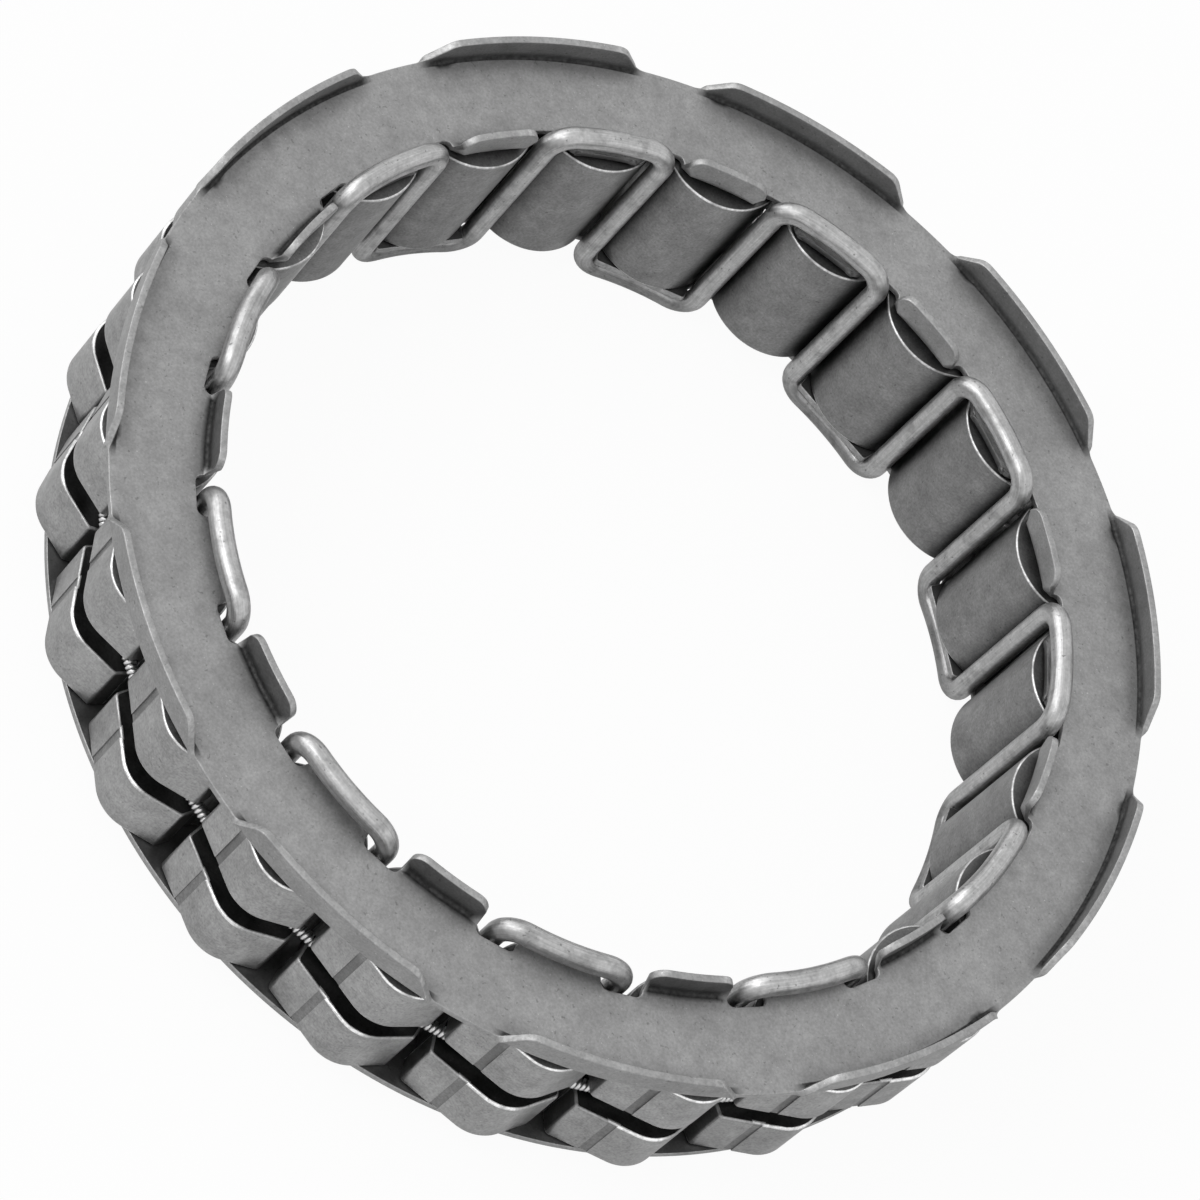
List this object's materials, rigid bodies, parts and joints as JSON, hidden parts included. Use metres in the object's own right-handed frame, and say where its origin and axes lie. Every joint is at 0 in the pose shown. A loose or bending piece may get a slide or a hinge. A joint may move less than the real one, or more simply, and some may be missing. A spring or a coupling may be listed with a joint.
{
  "type": "sprag clutch",
  "caption": "Ring-shaped one-way sprag clutch insert: wedge-like sprags between two sheet side plates, clipped by a bent wire and sprung by a garter spring.",
  "frame": {"origin": "on the clutch axis, level with the undersides of the wire's rear loops, which it stands on", "axes": "+Z along the clutch axis towards the front, the side with the rim tabs; +X through sprag 01"},
  "size_m": [0.0748, 0.0745, 0.0165],
  "materials": {
    "plate_steel": "matte blasted sheet steel",
    "wire_steel": "drawn wire, lightly worn",
    "spring_steel": "bright spring wire",
    "sprag_steel": "satin ground hardened steel"
  },
  "bodies": {
    "cage": {"front_plate": "plate_steel", "rear_plate": "plate_steel", "retaining_wire": "wire_steel", "garter_spring": "spring_steel"},
    "sprag_01": {"sprag_01": "sprag_steel"},
    "sprag_02": {"sprag_02": "sprag_steel"},
    "sprag_03": {"sprag_03": "sprag_steel"},
    "sprag_04": {"sprag_04": "sprag_steel"},
    "sprag_05": {"sprag_05": "sprag_steel"},
    "sprag_06": {"sprag_06": "sprag_steel"},
    "sprag_07": {"sprag_07": "sprag_steel"},
    "sprag_08": {"sprag_08": "sprag_steel"},
    "sprag_09": {"sprag_09": "sprag_steel"},
    "sprag_10": {"sprag_10": "sprag_steel"},
    "sprag_11": {"sprag_11": "sprag_steel"},
    "sprag_12": {"sprag_12": "sprag_steel"},
    "sprag_13": {"sprag_13": "sprag_steel"},
    "sprag_14": {"sprag_14": "sprag_steel"},
    "sprag_15": {"sprag_15": "sprag_steel"},
    "sprag_16": {"sprag_16": "sprag_steel"},
    "sprag_17": {"sprag_17": "sprag_steel"},
    "sprag_18": {"sprag_18": "sprag_steel"},
    "sprag_19": {"sprag_19": "sprag_steel"},
    "sprag_20": {"sprag_20": "sprag_steel"},
    "sprag_21": {"sprag_21": "sprag_steel"},
    "sprag_22": {"sprag_22": "sprag_steel"}
  },
  "joints": [
    {"name": "sprag_01_tilt", "type": "hinge", "parent": "cage", "child": "sprag_01", "pos_m": [0.03354, 0, 0.00817], "axis": [0, 0, 1], "range_deg": [0, 12], "stiffness_Nm_per_rad": 0.002},
    {"name": "sprag_02_tilt", "type": "hinge", "parent": "cage", "child": "sprag_02", "pos_m": [0.03218, 0.00945, 0.00817], "axis": [0, 0, 1], "range_deg": [0, 12], "stiffness_Nm_per_rad": 0.002},
    {"name": "sprag_03_tilt", "type": "hinge", "parent": "cage", "child": "sprag_03", "pos_m": [0.02822, 0.01813, 0.00817], "axis": [0, 0, 1], "range_deg": [0, 12], "stiffness_Nm_per_rad": 0.002},
    {"name": "sprag_04_tilt", "type": "hinge", "parent": "cage", "child": "sprag_04", "pos_m": [0.02196, 0.02535, 0.00817], "axis": [0, 0, 1], "range_deg": [0, 12], "stiffness_Nm_per_rad": 0.002},
    {"name": "sprag_05_tilt", "type": "hinge", "parent": "cage", "child": "sprag_05", "pos_m": [0.01393, 0.03051, 0.00817], "axis": [0, 0, 1], "range_deg": [0, 12], "stiffness_Nm_per_rad": 0.002},
    {"name": "sprag_06_tilt", "type": "hinge", "parent": "cage", "child": "sprag_06", "pos_m": [0.00477, 0.0332, 0.00817], "axis": [0, 0, 1], "range_deg": [0, 12], "stiffness_Nm_per_rad": 0.002},
    {"name": "sprag_07_tilt", "type": "hinge", "parent": "cage", "child": "sprag_07", "pos_m": [-0.00477, 0.0332, 0.00817], "axis": [0, 0, 1], "range_deg": [0, 12], "stiffness_Nm_per_rad": 0.002},
    {"name": "sprag_08_tilt", "type": "hinge", "parent": "cage", "child": "sprag_08", "pos_m": [-0.01393, 0.03051, 0.00817], "axis": [0, 0, 1], "range_deg": [0, 12], "stiffness_Nm_per_rad": 0.002},
    {"name": "sprag_09_tilt", "type": "hinge", "parent": "cage", "child": "sprag_09", "pos_m": [-0.02196, 0.02535, 0.00817], "axis": [0, 0, 1], "range_deg": [0, 12], "stiffness_Nm_per_rad": 0.002},
    {"name": "sprag_10_tilt", "type": "hinge", "parent": "cage", "child": "sprag_10", "pos_m": [-0.02822, 0.01813, 0.00817], "axis": [0, 0, 1], "range_deg": [0, 12], "stiffness_Nm_per_rad": 0.002},
    {"name": "sprag_11_tilt", "type": "hinge", "parent": "cage", "child": "sprag_11", "pos_m": [-0.03218, 0.00945, 0.00817], "axis": [0, 0, 1], "range_deg": [0, 12], "stiffness_Nm_per_rad": 0.002},
    {"name": "sprag_12_tilt", "type": "hinge", "parent": "cage", "child": "sprag_12", "pos_m": [-0.03354, 0, 0.00817], "axis": [0, 0, 1], "range_deg": [0, 12], "stiffness_Nm_per_rad": 0.002},
    {"name": "sprag_13_tilt", "type": "hinge", "parent": "cage", "child": "sprag_13", "pos_m": [-0.03218, -0.00945, 0.00817], "axis": [0, 0, 1], "range_deg": [0, 12], "stiffness_Nm_per_rad": 0.002},
    {"name": "sprag_14_tilt", "type": "hinge", "parent": "cage", "child": "sprag_14", "pos_m": [-0.02822, -0.01813, 0.00817], "axis": [0, 0, 1], "range_deg": [0, 12], "stiffness_Nm_per_rad": 0.002},
    {"name": "sprag_15_tilt", "type": "hinge", "parent": "cage", "child": "sprag_15", "pos_m": [-0.02196, -0.02535, 0.00817], "axis": [0, 0, 1], "range_deg": [0, 12], "stiffness_Nm_per_rad": 0.002},
    {"name": "sprag_16_tilt", "type": "hinge", "parent": "cage", "child": "sprag_16", "pos_m": [-0.01393, -0.03051, 0.00817], "axis": [0, 0, 1], "range_deg": [0, 12], "stiffness_Nm_per_rad": 0.002},
    {"name": "sprag_17_tilt", "type": "hinge", "parent": "cage", "child": "sprag_17", "pos_m": [-0.00477, -0.0332, 0.00817], "axis": [0, 0, 1], "range_deg": [0, 12], "stiffness_Nm_per_rad": 0.002},
    {"name": "sprag_18_tilt", "type": "hinge", "parent": "cage", "child": "sprag_18", "pos_m": [0.00477, -0.0332, 0.00817], "axis": [0, 0, 1], "range_deg": [0, 12], "stiffness_Nm_per_rad": 0.002},
    {"name": "sprag_19_tilt", "type": "hinge", "parent": "cage", "child": "sprag_19", "pos_m": [0.01393, -0.03051, 0.00817], "axis": [0, 0, 1], "range_deg": [0, 12], "stiffness_Nm_per_rad": 0.002},
    {"name": "sprag_20_tilt", "type": "hinge", "parent": "cage", "child": "sprag_20", "pos_m": [0.02196, -0.02535, 0.00817], "axis": [0, 0, 1], "range_deg": [0, 12], "stiffness_Nm_per_rad": 0.002},
    {"name": "sprag_21_tilt", "type": "hinge", "parent": "cage", "child": "sprag_21", "pos_m": [0.02822, -0.01813, 0.00817], "axis": [0, 0, 1], "range_deg": [0, 12], "stiffness_Nm_per_rad": 0.002},
    {"name": "sprag_22_tilt", "type": "hinge", "parent": "cage", "child": "sprag_22", "pos_m": [0.03218, -0.00945, 0.00817], "axis": [0, 0, 1], "range_deg": [0, 12], "stiffness_Nm_per_rad": 0.002}
  ],
  "couplings": [
    {"joint": "sprag_02_tilt", "follows": "sprag_01_tilt", "ratio": 1},
    {"joint": "sprag_03_tilt", "follows": "sprag_01_tilt", "ratio": 1},
    {"joint": "sprag_04_tilt", "follows": "sprag_01_tilt", "ratio": 1},
    {"joint": "sprag_05_tilt", "follows": "sprag_01_tilt", "ratio": 1},
    {"joint": "sprag_06_tilt", "follows": "sprag_01_tilt", "ratio": 1},
    {"joint": "sprag_07_tilt", "follows": "sprag_01_tilt", "ratio": 1},
    {"joint": "sprag_08_tilt", "follows": "sprag_01_tilt", "ratio": 1},
    {"joint": "sprag_09_tilt", "follows": "sprag_01_tilt", "ratio": 1},
    {"joint": "sprag_10_tilt", "follows": "sprag_01_tilt", "ratio": 1},
    {"joint": "sprag_11_tilt", "follows": "sprag_01_tilt", "ratio": 1},
    {"joint": "sprag_12_tilt", "follows": "sprag_01_tilt", "ratio": 1},
    {"joint": "sprag_13_tilt", "follows": "sprag_01_tilt", "ratio": 1},
    {"joint": "sprag_14_tilt", "follows": "sprag_01_tilt", "ratio": 1},
    {"joint": "sprag_15_tilt", "follows": "sprag_01_tilt", "ratio": 1},
    {"joint": "sprag_16_tilt", "follows": "sprag_01_tilt", "ratio": 1},
    {"joint": "sprag_17_tilt", "follows": "sprag_01_tilt", "ratio": 1},
    {"joint": "sprag_18_tilt", "follows": "sprag_01_tilt", "ratio": 1},
    {"joint": "sprag_19_tilt", "follows": "sprag_01_tilt", "ratio": 1},
    {"joint": "sprag_20_tilt", "follows": "sprag_01_tilt", "ratio": 1},
    {"joint": "sprag_21_tilt", "follows": "sprag_01_tilt", "ratio": 1},
    {"joint": "sprag_22_tilt", "follows": "sprag_01_tilt", "ratio": 1}
  ]
}
